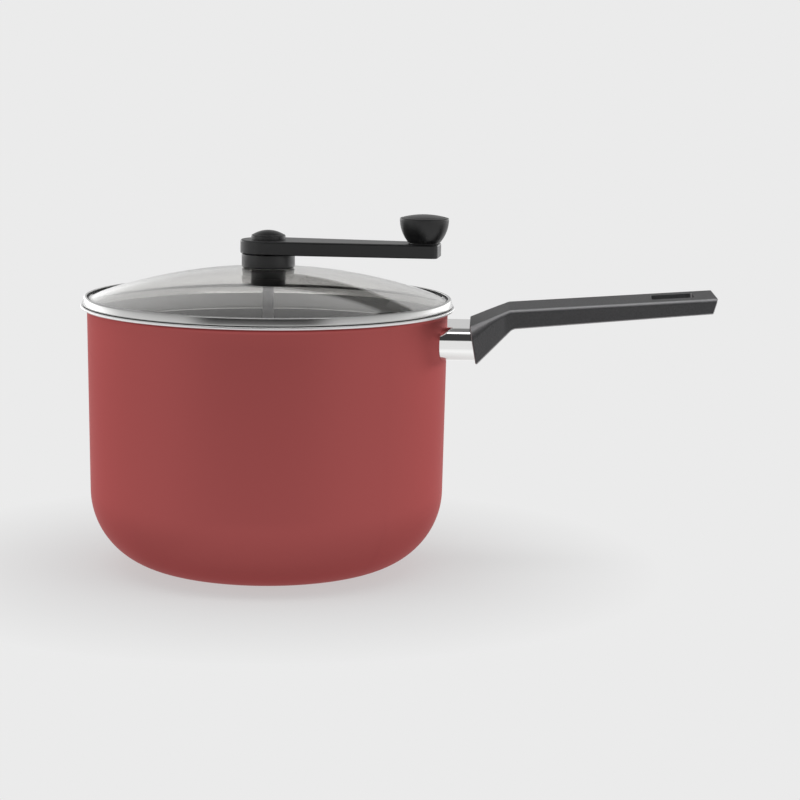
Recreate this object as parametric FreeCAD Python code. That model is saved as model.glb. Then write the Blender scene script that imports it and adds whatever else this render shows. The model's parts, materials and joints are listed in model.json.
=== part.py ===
import FreeCAD, Part
import math
import os

# Stovetop popcorn popper. Millimetres, +Z up, origin at the centre of the pot's base.
# The handle points along +X. The lid lifts along +Z and the crank turns about Z.

V = FreeCAD.Vector
UP = V(0, 0, 1)
ALONG = V(1, 0, 0)
ACROSS = V(0, 1, 0)
SAME_PLACE = 0.01

# Pot: drawn aluminium, straight wall over a large bottom corner, lip flared at the top
pot_radius = 111.8
pot_height = 163.7
pot_wall = 1.8
pot_floor = 3.0
pot_wall_taper = 1.6
pot_corner_radius = 48.4
pot_lip_reach = 4.1
pot_lip_cove = 3.1
base_groove_radius = 52.0
base_groove_width = 1.6
base_groove_depth = 0.5

# Handle: welded bracket, rounded oblong ferrule and moulded grip on one axis
handle_drop = 20.0
bracket_width = 38.0
bracket_height = 16.0
bracket_sheet = 2.2
boss_side = 13.0
boss_length = 9.6
ferrule_length = 15.9
ferrule_width = 59.5
ferrule_height = 20.4
ferrule_corner = 8.5
ferrule_sheet = 0.9
spigot_clear = 0.3
spigot_length = 5.0
grip_face_rake = 10.0
grip_face_step = 1.0
grip_face_drop = 12.05
grip_face_rise = 11.65
grip_neck_length = 22.2
grip_elbow_rise = 21.8
grip_elbow_under = 10.0
grip_elbow_lean = 2.2
grip_width = 49.0
grip_length = 126.8
grip_end_rise = 31.3
grip_end_under = 21.5
grip_end_rake = 16.0
grip_edge_radius = 2.6
grip_under_radius = 1.2
grip_face_corner = 7.5
grip_end_radius = 0.8
grip_elbow_radius = 6.0
grip_waist_radius = 28.0
slot_length = 26.0
slot_width = 21.5
slot_corner_radius = 1.5
slot_from_end = 26.2

# Handle screw: M6, its head in a counterbore that opens in the sloped underside
screw_radius = 2.9
screw_clear = 0.4
screw_head_radius = 5.0
screw_head_height = 3.6
screw_socket_flats = 4.0
screw_socket_depth = 2.2
screw_washer_radius = 5.8
screw_washer_sheet = 1.2
screw_end_clear = 2.8
counterbore_clear = 0.4
grip_web = 3.0

# Lid: domed glass in a rolled ring, with a silicone seal round the glass edge
lid_seat_gap = 0.3
ring_overhang = 3.0
ring_height = 5.0
ring_sheet = 0.6
ring_top_width = 3.0
ring_corner_radius = 0.7
skirt_clear = 0.7
skirt_depth = 7.5
seal_lip = 0.4
seal_web = 1.0
seal_reach = 0.9
glass_sheet = 3.0
dome_rise = 19.0
glass_rim_width = 3.7
dome_foot_fillet = 5.0
glass_hole_clear = 0.7

# Hub in the middle of the glass: collar above, cap nut below, bush for the shaft
collar_radius = 16.5
collar_height = 8.4
collar_edge = 0.8
collar_skirt_wall = 1.7
gasket_sheet = 1.0
gasket_clear = 0.2
neck_wall = 1.8
nut_radius = 10.8
nut_height = 8.4
nut_floor = 1.6
nut_edge = 1.2
thread_clear = 0.05
lower_gasket_inset = 0.8
bush_wall = 1.5
bush_flange_width = 3.0
bush_flange_sheet = 1.5
fit_clear = 0.02

# Crank: arm on the flatted top of the stirring shaft
shaft_radius = 3.5
shaft_clear = 0.06
shaft_flats = 5.6
arm_angle = -6.0
arm_gap = 0.3
arm_thickness = 8.5
arm_hub_overhang = 0.85
arm_end_width = 22.0
arm_end_reach = 9.6
arm_end_corner = 3.5
arm_top_edge = 1.2
arm_bottom_edge = 0.7
arm_core_from_hub = 4.65
arm_core_from_knob = 14.3
arm_core_depth = 4.6
arm_core_wall = 2.6
arm_rib = 1.8
thrust_washer_sheet = 0.8
thrust_clear = 0.05
cap_radius = 10.65
cap_rim = 2.1
cap_rise = 3.7
cap_edge = 0.9
cap_roof = 1.8
cap_spigot = 2.0
cap_spigot_wall = 1.1
cap_lip = 2.05
cap_pocket_depth = 4.2
crank_screw_radius = 2.0
crank_screw_length = 12.0
crank_head_radius = 4.0
crank_head_height = 2.6
crank_washer_rim = 2.6
crank_washer_sheet = 0.9

# Stirrer at the bottom of the shaft
stirrer_gap = 1.2
stirrer_boss_wall = 4.5
stirrer_boss_floor = 1.2
stirrer_boss_height = 16.0
stirrer_boss_flats = 10.0
stirrer_pin_radius = 1.25
stirrer_pin_rise = 13.8
blade_sheet = 1.2
blade_depth = 13.5
blade_root = 6.4
blade_straight = 14.0
blade_curve_radius = 120.0
blade_tip_angle = 22.0
rivet_radius = 1.0
rivet_head_radius = 1.9
rivet_head_height = 0.9
rivet_spacing = 9.8
rivet_rise = 7.3
wire_radius = 1.5
wire_height = 62.0
wire_reach = 78.0
wire_bend = 9.0
wire_upturn = 20.0

# Knob: bowl-shaped, turns on a shouldered pin at the arm's end
knob_centre = 97.3
knob_radius = 15.1
knob_base_radius = 9.75
knob_height = 15.2
knob_dome_rise = 2.6
knob_edge = 0.8
knob_rim_width = 2.9
knob_cap_sheet = 1.8
knob_cap_clear = 0.05
knob_washer_sheet = 0.5
knob_washer_inset = 1.15
knob_pin_radius = 3.0
knob_pin_shoulder = 0.6
knob_pin_head_rim = 1.8
knob_pin_head_height = 2.2
knob_pin_head_clear = 0.4
knob_pin_shelf = 9.0
clip_rim = 3.0
clip_sheet = 1.0
clip_pocket_clear = 0.8
clip_pocket_depth = 1.8

# Heights and radii that follow from the sizes above
pot_low_radius = pot_radius - pot_wall_taper
pot_cove_z = pot_height - pot_wall - pot_lip_cove
pot_mouth_radius = pot_radius - pot_wall
floor_corner_radius = pot_corner_radius - pot_floor
floor_corner_r = pot_low_radius - pot_wall - floor_corner_radius
handle_z = pot_height - handle_drop
boss_reach = pot_radius + boss_length
grip_face_x = pot_radius + ferrule_length
grip_face_width = ferrule_width + 2 * grip_face_step
grip_elbow_x = grip_face_x + grip_neck_length
grip_end_x = grip_elbow_x + grip_length
screw_end_x = pot_radius + screw_end_clear
counterbore_x = grip_face_x + grip_web
counterbore_radius = screw_washer_radius + counterbore_clear
ring_radius = pot_radius + ring_overhang
ring_bottom = pot_height + lid_seat_gap
ring_top = ring_bottom + ring_height
skirt_radius = pot_mouth_radius - skirt_clear
glass_edge_radius = ring_radius - ring_sheet - seal_web
dome_foot_radius = glass_edge_radius - glass_rim_width
glass_flat_bottom = ring_bottom + ring_sheet + seal_lip
dome_top = glass_flat_bottom + glass_sheet + dome_rise
dome_radius = (dome_foot_radius ** 2 + dome_rise ** 2) / (2 * dome_rise)
dome_centre_z = dome_top - dome_radius
bush_radius = shaft_radius + bush_wall
bush_flange_radius = bush_radius + bush_flange_width
neck_radius = bush_radius + neck_wall
glass_hole_radius = neck_radius + glass_hole_clear
gasket_radius = collar_radius - collar_skirt_wall - gasket_clear
lower_gasket_radius = nut_radius - lower_gasket_inset
collar_top = dome_top + collar_height
nut_top = dome_top - glass_sheet - gasket_sheet
nut_bottom = nut_top - nut_height
neck_bottom = nut_bottom + nut_floor + fit_clear
thrust_washer_radius = bush_flange_radius
arm_hub_radius = collar_radius + arm_hub_overhang
arm_bottom = collar_top + arm_gap
arm_top = arm_bottom + arm_thickness
arm_shoulder = collar_top + thrust_clear + thrust_washer_sheet
arm_core_start = arm_hub_radius + arm_core_from_hub
arm_core_end = knob_centre - arm_core_from_knob
cap_pocket_radius = cap_radius - cap_lip
cap_pocket_floor = arm_top - cap_pocket_depth
crank_washer_radius = crank_head_radius + crank_washer_rim
stirrer_low = pot_floor + stirrer_gap
shaft_bottom = stirrer_low + stirrer_boss_floor
stirrer_boss_radius = shaft_radius + stirrer_boss_wall
stirrer_pin_height = stirrer_low + stirrer_pin_rise
rivet_height = stirrer_low + rivet_rise
knob_pin_foot_radius = knob_pin_radius - knob_pin_shoulder
knob_pin_head_radius = knob_pin_radius + knob_pin_head_rim
clip_radius = knob_pin_foot_radius + clip_rim
clip_pocket_radius = clip_radius + clip_pocket_clear
knob_cap_radius = knob_radius - knob_rim_width
knob_washer_radius = knob_base_radius - knob_washer_inset
knob_bottom = arm_top + knob_washer_sheet + thrust_clear
knob_rim = knob_bottom + knob_height
knob_crest = knob_rim + knob_dome_rise


# ---- drawing helpers ----

def at(r, z):
    return V(r, 0, z)


def segment(a, b):
    return Part.LineSegment(a, b).toShape()


def arc_about(centre, radius, start, end):
    """Arc in the XZ plane, angles in degrees from +X towards +Z."""
    points = []
    for angle in (start, (start + end) / 2, end):
        turn = math.radians(angle)
        points.append(centre + V(radius * math.cos(turn), 0, radius * math.sin(turn)))
    return Part.Arc(*points).toShape()


def outline(*points):
    return [segment(a, b) for a, b in zip(points, points[1:])]


def closed_face(edges):
    return Part.Face(Part.Wire(Part.__sortEdges__(edges)))


def turned(edges):
    """Solid of revolution about Z from a closed outline in the XZ plane."""
    return closed_face(edges).revolve(V(0, 0, 0), UP, 360)


def turned_outline(*points):
    return turned(outline(*points, points[0]))


def rod(radius, low, high):
    return Part.makeCylinder(radius, high - low, at(0, low), UP)


def tube(outer, inner, low, high):
    return rod(outer, low, high).cut(rod(inner, low, high))


def rod_along_x(radius, start, end, z):
    return Part.makeCylinder(radius, end - start, at(start, z), ALONG)


def block(x_low, x_high, y_half, z_low, z_high):
    return Part.makeBox(x_high - x_low, 2 * y_half, z_high - z_low, V(x_low, -y_half, z_low))


def prism(points, direction):
    loop = Part.makePolygon(list(points) + [points[0]])
    return Part.Face(loop).extrude(direction)


def on_arm(shape):
    """Turn a piece modelled along +X to the crank's rest direction."""
    turned_shape = shape.copy()
    turned_shape.rotate(V(0, 0, 0), UP, arm_angle)
    return turned_shape


def at_knob(shape):
    """Move a piece modelled on the Z axis to the knob's axis on the arm."""
    moved = shape.copy()
    moved.translate(V(knob_centre, 0, 0))
    return on_arm(moved)


# ---- pot ----

def wall_radius(z):
    """Outside radius of the tapered wall."""
    share = (z - pot_corner_radius) / (pot_cove_z - pot_corner_radius)
    return pot_low_radius + pot_wall_taper * share


def pot_outside():
    """Edges of the outer surface, from the axis up to the lip's half-round edge."""
    cove = at(pot_radius + pot_lip_cove, pot_cove_z)
    corner = at(pot_low_radius - pot_corner_radius, pot_corner_radius)
    edge = at(pot_radius + pot_lip_reach - pot_wall / 2, pot_height - pot_wall / 2)
    edges = [segment(at(0, 0), at(corner.x, 0))]
    edges.append(arc_about(corner, pot_corner_radius, -90, 0))
    edges.append(segment(at(pot_low_radius, pot_corner_radius), at(pot_radius, pot_cove_z)))
    edges.append(arc_about(cove, pot_lip_cove, 180, 90))
    edges.append(segment(at(cove.x, pot_height - pot_wall), at(edge.x, pot_height - pot_wall)))
    edges.append(arc_about(edge, pot_wall / 2, -90, 90))
    return edges


def pot_body():
    cove = at(pot_radius + pot_lip_cove, pot_cove_z)
    edge_x = pot_radius + pot_lip_reach - pot_wall / 2
    corner = at(floor_corner_r, pot_corner_radius)
    edges = pot_outside()
    edges.append(segment(at(edge_x, pot_height), at(cove.x, pot_height)))
    edges.append(arc_about(cove, pot_lip_cove + pot_wall, 90, 180))
    edges.append(segment(at(pot_mouth_radius, pot_cove_z), at(pot_low_radius - pot_wall, pot_corner_radius)))
    edges.append(arc_about(corner, floor_corner_radius, 0, -90))
    edges.append(segment(at(corner.x, pot_floor), at(0, pot_floor)))
    edges.append(segment(at(0, pot_floor), at(0, 0)))
    groove = tube(base_groove_radius + base_groove_width, base_groove_radius, 0, base_groove_depth)
    return turned(edges).cut(groove)


def pot_envelope():
    """The pot's outside as a filled solid, for trimming what is welded on."""
    edge_x = pot_radius + pot_lip_reach - pot_wall / 2
    edges = pot_outside()
    edges.append(segment(at(edge_x, pot_height), at(0, pot_height)))
    edges.append(segment(at(0, pot_height), at(0, 0)))
    return turned(edges)


# ---- handle ----

def rounded_bar(inset, x_start, x_end):
    """Bar along the handle's axis: the ferrule's outer section, drawn in by an inset."""
    half_width = ferrule_width / 2 - inset
    half_height = ferrule_height / 2 - inset
    bar = block(x_start, x_end, half_width, handle_z - half_height, handle_z + half_height)
    corners = [edge for edge in bar.Edges if edge.BoundBox.XLength > edge.BoundBox.DiagonalLength / 2]
    return bar.makeFillet(ferrule_corner - inset, corners)


def face_x(z):
    """X of the grip's raked front face at a height."""
    return grip_face_x - (z - handle_z) * math.tan(math.radians(grip_face_rake))


def behind_face():
    """Everything on the grip's side of its raked front face."""
    low = handle_z - 2 * grip_face_width
    high = handle_z + 2 * grip_face_width
    far = grip_end_x + grip_face_width
    points = [at(face_x(low), low), at(far, low), at(far, high), at(face_x(high), high)]
    points = [point - ACROSS * grip_face_width for point in points]
    return prism(points, ACROSS * (2 * grip_face_width))


def handle_bracket():
    seat = wall_radius(handle_z)
    back = seat - bracket_width / 2
    plate = block(back, seat + bracket_sheet, bracket_width / 2,
                  handle_z - bracket_height / 2, handle_z + bracket_height / 2)
    plate = plate.common(rod(seat + bracket_sheet, 0, pot_height))
    boss = block(back, boss_reach, boss_side / 2, handle_z - boss_side / 2, handle_z + boss_side / 2)
    bracket = plate.fuse(boss).cut(pot_envelope()).removeSplitter()
    return bracket.cut(rod_along_x(screw_radius + thread_clear, screw_end_x - screw_clear,
                                   boss_reach, handle_z))


def handle_ferrule():
    start = pot_radius - ferrule_width / 2
    end = grip_face_x + ferrule_height
    sleeve = rounded_bar(0, start, end).cut(rounded_bar(ferrule_sheet, start, end))
    return sleeve.cut(pot_envelope()).cut(behind_face())


def bend_edges(body, place):
    """Edges across the grip where its side view bends at a place."""
    return [edge for edge in body.Edges
            if all((vertex.Point - place).cross(ACROSS).Length < SAME_PLACE for vertex in edge.Vertexes)]


def grip_side_profile():
    """Side view of the grip, bent at the elbow above and below."""
    low_z = handle_z - grip_face_drop
    high_z = handle_z + grip_face_rise
    end_under_x = grip_end_x - (grip_end_rise - grip_end_under) * math.tan(math.radians(grip_end_rake))
    under = at(grip_elbow_x + grip_elbow_lean, handle_z + grip_elbow_under)
    over = at(grip_elbow_x, handle_z + grip_elbow_rise)
    points = [at(face_x(low_z), low_z), under, at(end_under_x, handle_z + grip_end_under),
              at(grip_end_x, handle_z + grip_end_rise), over, at(face_x(high_z), high_z)]
    points = [point - ACROSS * grip_face_width for point in points]
    body = prism(points, ACROSS * (2 * grip_face_width))
    return body.makeFillet(grip_elbow_radius, bend_edges(body, under) + bend_edges(body, over))


def grip_plan_profile():
    """Plan view of the grip: wide at the ferrule, slim and straight past the elbow."""
    low = handle_z - 2 * grip_face_drop
    height = grip_end_rise + 4 * grip_face_drop
    start = face_x(handle_z + grip_end_rise) - grip_elbow_radius
    flare = (grip_face_width - grip_width) / 2 / (grip_elbow_x - grip_face_x)
    start_half = grip_face_width / 2 + flare * (grip_face_x - start)
    far = grip_end_x + grip_elbow_radius
    halves = [(start, start_half), (grip_elbow_x, grip_width / 2), (far, grip_width / 2)]
    near_side = [V(x, -half, low) for x, half in halves]
    far_side = [V(x, half, low) for x, half in reversed(halves)]
    body = prism(near_side + far_side, UP * height)
    waist = [edge for edge in body.Edges
             if all(abs(vertex.X - grip_elbow_x) < SAME_PLACE for vertex in edge.Vertexes)]
    return body.makeFillet(grip_waist_radius, waist)


def neck_edge(body, top, side):
    """Side edge of the grip's neck that starts at the face: above or below, at +Y or -Y."""
    for edge in body.Edges:
        box = edge.BoundBox
        middle = edge.CenterOfMass
        along = box.XLength > box.ZLength / 2 and middle.y * side > grip_width / 3
        if along and box.XMin < grip_face_x + grip_web and (middle.z > handle_z) == top:
            return edge


def round_sides(body, top, face_radius, radius):
    """Round both side edges, from one radius at the face to another from the elbow on."""
    for side in (1, -1):
        edge = neck_edge(body, top, side)
        from_face = edge.Vertexes[0].X < edge.Vertexes[-1].X
        radii = (face_radius, radius) if from_face else (radius, face_radius)
        body = body.makeFillet(*radii, [edge])
    return body


def grip_blank():
    body = grip_side_profile().common(grip_plan_profile())
    body = round_sides(body, True, grip_face_corner, grip_edge_radius)
    body = round_sides(body, False, grip_under_radius, grip_under_radius)
    for place in (min, max):
        end_face = place(body.Faces, key=lambda face: face.CenterOfMass.x)
        body = body.makeFillet(grip_end_radius, end_face.Edges)
    return body


def hang_slot():
    """Slot along the grip, square to its top."""
    slope = math.atan2(grip_end_rise - grip_elbow_rise, grip_length)
    middle = grip_end_x - slot_from_end
    slot = Part.makeBox(slot_length, slot_width, 4 * grip_face_drop,
                        V(-slot_length / 2, -slot_width / 2, -2 * grip_face_drop))
    slot = slot.makeFillet(slot_corner_radius, [edge for edge in slot.Edges
                                                if edge.BoundBox.ZLength > slot_length])
    slot.rotate(V(0, 0, 0), ACROSS, -math.degrees(slope))
    slot.translate(at(middle, handle_z + (grip_end_rise + grip_end_under) / 2))
    return slot


def handle_grip():
    spigot = rounded_bar(ferrule_sheet + spigot_clear, grip_face_x - spigot_length, counterbore_x)
    grip = grip_blank().fuse(spigot)
    grip = grip.cut(rod_along_x(screw_radius + screw_clear, pot_radius, counterbore_x, handle_z))
    grip = grip.cut(rod_along_x(counterbore_radius, counterbore_x, grip_elbow_x, handle_z))
    return grip.cut(hang_slot()).removeSplitter()


def handle_screw_washer():
    end = counterbore_x + screw_washer_sheet
    washer = rod_along_x(screw_washer_radius, counterbore_x, end, handle_z)
    return washer.cut(rod_along_x(screw_radius + fit_clear, counterbore_x, end, handle_z))


def handle_screw():
    head_start = counterbore_x + screw_washer_sheet
    head_end = head_start + screw_head_height
    shank = rod_along_x(screw_radius, screw_end_x, head_start, handle_z)
    head = rod_along_x(screw_head_radius, head_start, head_end, handle_z)
    socket_radius = screw_socket_flats / 2 / math.cos(math.radians(30))
    corners = []
    for step in range(6):
        turn = math.radians(60 * step)
        rise = socket_radius * math.sin(turn)
        corners.append(V(head_end, socket_radius * math.cos(turn), handle_z + rise))
    socket = prism(corners, ALONG * -screw_socket_depth)
    return shank.fuse(head).cut(socket)


# ---- lid ----

def lid_ring():
    lip = at(ring_radius - ring_top_width + ring_sheet / 2, ring_top - ring_sheet / 2)
    shoulder = at(ring_radius - ring_corner_radius, ring_top - ring_corner_radius)
    heel = at(ring_radius - ring_corner_radius, ring_bottom + ring_corner_radius)
    floor_z = ring_bottom + ring_sheet
    roof_z = ring_top - ring_sheet
    wall_r = ring_radius - ring_sheet
    skirt_inner = skirt_radius - ring_sheet
    edges = [arc_about(heel, ring_corner_radius, -90, 0)]
    edges += outline(at(ring_radius, heel.z), at(ring_radius, shoulder.z))
    edges.append(arc_about(shoulder, ring_corner_radius, 0, 90))
    edges.append(segment(at(shoulder.x, ring_top), at(lip.x, ring_top)))
    edges.append(arc_about(lip, ring_sheet / 2, 90, 270))
    edges += outline(at(lip.x, roof_z), at(wall_r, roof_z), at(wall_r, floor_z),
                     at(skirt_inner, floor_z), at(skirt_inner, ring_bottom - skirt_depth),
                     at(skirt_radius, ring_bottom - skirt_depth), at(skirt_radius, ring_bottom),
                     at(heel.x, ring_bottom))
    return turned(edges)


def lid_seal():
    """U-shaped seal: bottom lip, web round the glass edge and top lip under the ring's lip."""
    wall_r = ring_radius - ring_sheet
    floor_z = ring_bottom + ring_sheet
    roof_z = ring_top - ring_sheet
    seal_inner = ring_radius - ring_top_width - seal_reach
    glass_top = glass_flat_bottom + glass_sheet
    return turned_outline(
        at(seal_inner, floor_z), at(wall_r, floor_z), at(wall_r, roof_z),
        at(seal_inner, roof_z), at(seal_inner, glass_top),
        at(glass_edge_radius, glass_top), at(glass_edge_radius, glass_flat_bottom),
        at(seal_inner, glass_flat_bottom))


def dome_edges(offset):
    """Sphere, foot fillet and flat rim of one glass surface, offset downwards from the top one."""
    sphere = at(0, dome_centre_z)
    flat_z = glass_flat_bottom + glass_sheet
    fillet_z = flat_z + dome_foot_fillet
    reach = dome_radius + dome_foot_fillet
    fillet_r = math.sqrt(reach ** 2 - (fillet_z - dome_centre_z) ** 2)
    fillet = at(fillet_r, fillet_z)
    slope = math.degrees(math.atan2(fillet_z - dome_centre_z, fillet_r))
    hole = math.degrees(math.acos(glass_hole_radius / (dome_radius - offset)))
    edges = [arc_about(sphere, dome_radius - offset, hole, slope)]
    edges.append(arc_about(fillet, dome_foot_fillet + offset, slope + 180, 270))
    edges.append(segment(at(fillet_r, flat_z - offset), at(glass_edge_radius, flat_z - offset)))
    return edges


def lid_glass():
    top = dome_edges(0)
    bottom = dome_edges(glass_sheet)
    flat_z = glass_flat_bottom + glass_sheet
    rim = segment(at(glass_edge_radius, flat_z), at(glass_edge_radius, glass_flat_bottom))
    bore = segment(top[0].Vertexes[0].Point, bottom[0].Vertexes[0].Point)
    return turned(top + bottom + [rim, bore])


def glass_ball(offset):
    """Ball of the dome's top surface, or of a surface offset below it."""
    return Part.makeSphere(dome_radius - offset, at(0, dome_centre_z))


def hub_upper_gasket():
    low = dome_top - collar_height
    ring = tube(gasket_radius, neck_radius + gasket_clear, low, dome_top + gasket_sheet)
    return ring.cut(glass_ball(0))


def hub_lower_gasket():
    ring = tube(lower_gasket_radius, neck_radius + gasket_clear, nut_top, dome_top)
    return ring.common(glass_ball(glass_sheet))


def hub_collar():
    """Bearing collar above the glass with the threaded neck that passes through it."""
    recess_z = dome_top + gasket_sheet
    bore = bush_radius + fit_clear
    flange_z = collar_top - bush_flange_sheet
    skirt_inner = gasket_radius + gasket_clear
    return turned_outline(
        at(bore, neck_bottom), at(neck_radius, neck_bottom), at(neck_radius, recess_z),
        at(skirt_inner, recess_z), at(skirt_inner, dome_top),
        at(collar_radius - collar_edge, dome_top), at(collar_radius, dome_top + collar_edge),
        at(collar_radius, collar_top - collar_edge / 2), at(collar_radius - collar_edge / 2, collar_top),
        at(bush_flange_radius + fit_clear, collar_top), at(bush_flange_radius + fit_clear, flange_z),
        at(bore, flange_z))


def hub_nut():
    """Closed nut under the glass: the neck screws into it and the shaft leaves through its floor."""
    inner = neck_radius + thread_clear
    hole = shaft_radius + screw_clear
    edge = at(nut_radius - nut_edge, nut_bottom + nut_edge)
    edges = [arc_about(edge, nut_edge, -90, 0)]
    edges += outline(at(nut_radius, edge.z), at(nut_radius, nut_top - fit_clear),
                     at(inner, nut_top - fit_clear), at(inner, nut_bottom + nut_floor),
                     at(hole, nut_bottom + nut_floor), at(hole, nut_bottom), at(edge.x, nut_bottom))
    return turned(edges)


def shaft_bush():
    flange_z = collar_top - bush_flange_sheet
    bore = shaft_radius + shaft_clear
    return turned_outline(
        at(bore, neck_bottom), at(bush_radius, neck_bottom), at(bush_radius, flange_z),
        at(bush_flange_radius, flange_z), at(bush_flange_radius, collar_top), at(bore, collar_top))


# ---- crank ----

def arm_tangent():
    """Where the arm's straight side leaves the hub circle and meets the end's corner circle."""
    corner = V(knob_centre + arm_end_reach - arm_end_corner, arm_end_width / 2 - arm_end_corner, 0)
    distance = math.hypot(corner.x, corner.y)
    lean = math.atan2(corner.y, corner.x)
    normal = lean + math.acos((arm_hub_radius - arm_end_corner) / distance)
    direction = V(math.cos(normal), math.sin(normal), 0)
    return direction * arm_hub_radius, corner + direction * arm_end_corner, corner


def arm_half_width(x):
    start, end, corner = arm_tangent()
    return start.y + (end.y - start.y) * (x - start.x) / (end.x - start.x)


def mirrored(point):
    return V(point.x, -point.y, point.z)


def arm_plate(low, high):
    """Arm's plan outline, round at the hub and square with rounded corners at the knob."""
    hub, side, corner = arm_tangent()
    end = V(corner.x + arm_end_corner, corner.y, 0)
    bulge = corner + (side - corner + end - corner).normalize() * arm_end_corner
    edges = [
        Part.Arc(hub, V(-arm_hub_radius, 0, 0), mirrored(hub)).toShape(),
        segment(mirrored(hub), mirrored(side)),
        Part.Arc(mirrored(side), mirrored(bulge), mirrored(end)).toShape(),
        segment(mirrored(end), end),
        Part.Arc(end, bulge, side).toShape(),
        segment(side, hub),
    ]
    face = closed_face(edges)
    face.translate(at(0, low))
    return face.extrude(UP * (high - low))


def arm_cores():
    """Two pockets under the arm with a rib between them."""
    cores = []
    depth = UP * arm_core_depth
    for side in (-1, 1):
        corners = []
        for x, inner in ((arm_core_start, True), (arm_core_end, True),
                         (arm_core_end, False), (arm_core_start, False)):
            y = arm_rib / 2 if inner else arm_half_width(x) - arm_core_wall
            corners.append(V(x, side * y, arm_bottom))
        cores.append(prism(corners, depth))
    return cores


def double_d(radius, flats, low, high):
    bar = rod(radius, low, high)
    return bar.common(block(-radius, radius, flats / 2, low, high))


def crank_arm():
    arm = arm_plate(arm_bottom, arm_top)
    top = [edge for edge in arm.Edges if edge.BoundBox.ZMin > arm_top - fit_clear]
    arm = arm.makeFillet(arm_top_edge, top)
    bottom = [edge for edge in arm.Edges if edge.BoundBox.ZMax < arm_bottom + fit_clear]
    arm = arm.makeFillet(arm_bottom_edge, bottom)
    for core in arm_cores():
        arm = arm.cut(core)
    arm = arm.cut(rod(cap_pocket_radius, cap_pocket_floor, arm_top))
    arm = arm.cut(rod(thrust_washer_radius + gasket_clear, arm_bottom, arm_shoulder))
    arm = arm.cut(double_d(shaft_radius + thread_clear, shaft_flats + 2 * thread_clear,
                           arm_shoulder, cap_pocket_floor))
    clip_ceiling = arm_bottom + clip_pocket_depth
    pin_hole = rod(knob_pin_foot_radius + fit_clear, clip_ceiling, arm_top)
    pocket = rod(clip_pocket_radius, arm_bottom, clip_ceiling)
    for hole in (pin_hole, pocket):
        hole.translate(V(knob_centre, 0, 0))
        arm = arm.cut(hole)
    return on_arm(arm)


def crank_cap():
    """Domed cap whose spigot snaps into the arm's pocket."""
    rim_z = arm_top + cap_rim
    crest = rim_z + cap_rise
    shoulder_r = cap_radius - cap_edge
    dome = ((shoulder_r ** 2) + (cap_rise - cap_edge) ** 2) / (2 * (cap_rise - cap_edge))
    centre = at(0, crest - dome)
    start = math.degrees(math.atan2(rim_z + cap_edge - centre.z, shoulder_r))
    spigot_r = cap_pocket_radius - thread_clear
    hollow_r = spigot_r - cap_spigot_wall
    roof_z = rim_z + cap_rise - cap_edge - cap_roof
    edges = [arc_about(at(shoulder_r, rim_z), cap_edge, 0, 90)]
    edges.append(arc_about(centre, dome, start, 90))
    edges += outline(at(0, crest), at(0, roof_z), at(hollow_r, roof_z),
                     at(hollow_r, arm_top - cap_spigot), at(spigot_r, arm_top - cap_spigot),
                     at(spigot_r, arm_top), at(cap_radius, arm_top), at(cap_radius, rim_z))
    return on_arm(turned(edges))


def crank_washer():
    top = cap_pocket_floor + crank_washer_sheet
    return tube(crank_washer_radius, crank_screw_radius + fit_clear, cap_pocket_floor, top)


def crank_screw():
    seat = cap_pocket_floor + crank_washer_sheet
    tip = seat - crank_screw_length
    head = rod(crank_head_radius, seat, seat + crank_head_height)
    rim = [edge for edge in head.Edges if edge.BoundBox.ZMin > seat + crank_head_height - fit_clear]
    head = head.makeFillet(crank_head_height / 2, rim)
    slot = block(-crank_head_radius, crank_head_radius, crank_washer_sheet / 2,
                 seat + crank_head_height / 2, seat + crank_head_height)
    return rod(crank_screw_radius, tip, seat).fuse(head.cut(slot))


def thrust_washer():
    low = collar_top + thrust_clear
    return tube(thrust_washer_radius, shaft_radius + fit_clear, low, arm_shoulder)


def stir_shaft():
    """Shaft with a flatted top, a tapped end and cross holes for the wire and the pin."""
    top = cap_pocket_floor - screw_clear / 2
    shaft = rod(shaft_radius, shaft_bottom, arm_shoulder)
    shaft = shaft.fuse(double_d(shaft_radius, shaft_flats, arm_shoulder, top))
    tapped_end = cap_pocket_floor + crank_washer_sheet - crank_screw_length - 1
    shaft = shaft.cut(rod(crank_screw_radius + thread_clear, tapped_end, top))
    shaft = shaft.cut(cross_bar(wire_radius + fit_clear, 2 * shaft_radius, wire_height))
    shaft = shaft.cut(cross_bar(stirrer_pin_radius, 2 * shaft_radius, stirrer_pin_height))
    return on_arm(shaft)


# ---- stirrer ----

def cross_bar(radius, half_length, z):
    return Part.makeCylinder(radius, 2 * half_length, V(0, -half_length, z), ACROSS)


def stirrer_hub():
    low = stirrer_low
    high = low + stirrer_boss_height
    hub = rod(stirrer_boss_radius, low, high)
    hub = hub.common(block(-stirrer_boss_radius, stirrer_boss_radius, stirrer_boss_flats / 2, low, high))
    hub = hub.cut(rod(shaft_radius + fit_clear, shaft_bottom, high))
    hub = hub.cut(cross_bar(stirrer_pin_radius, stirrer_boss_radius, stirrer_pin_height))
    for side in (-1, 1):
        hub = hub.cut(rivet_shank(side, stirrer_boss_flats / 2))
    return on_arm(hub)


def stirrer_pin():
    return on_arm(cross_bar(stirrer_pin_radius, stirrer_boss_flats / 2, stirrer_pin_height))


def rivet_shank(side, half_length):
    shank = cross_bar(rivet_radius, half_length, rivet_height)
    shank.translate(V(side * rivet_spacing / 2, 0, 0))
    return shank


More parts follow.
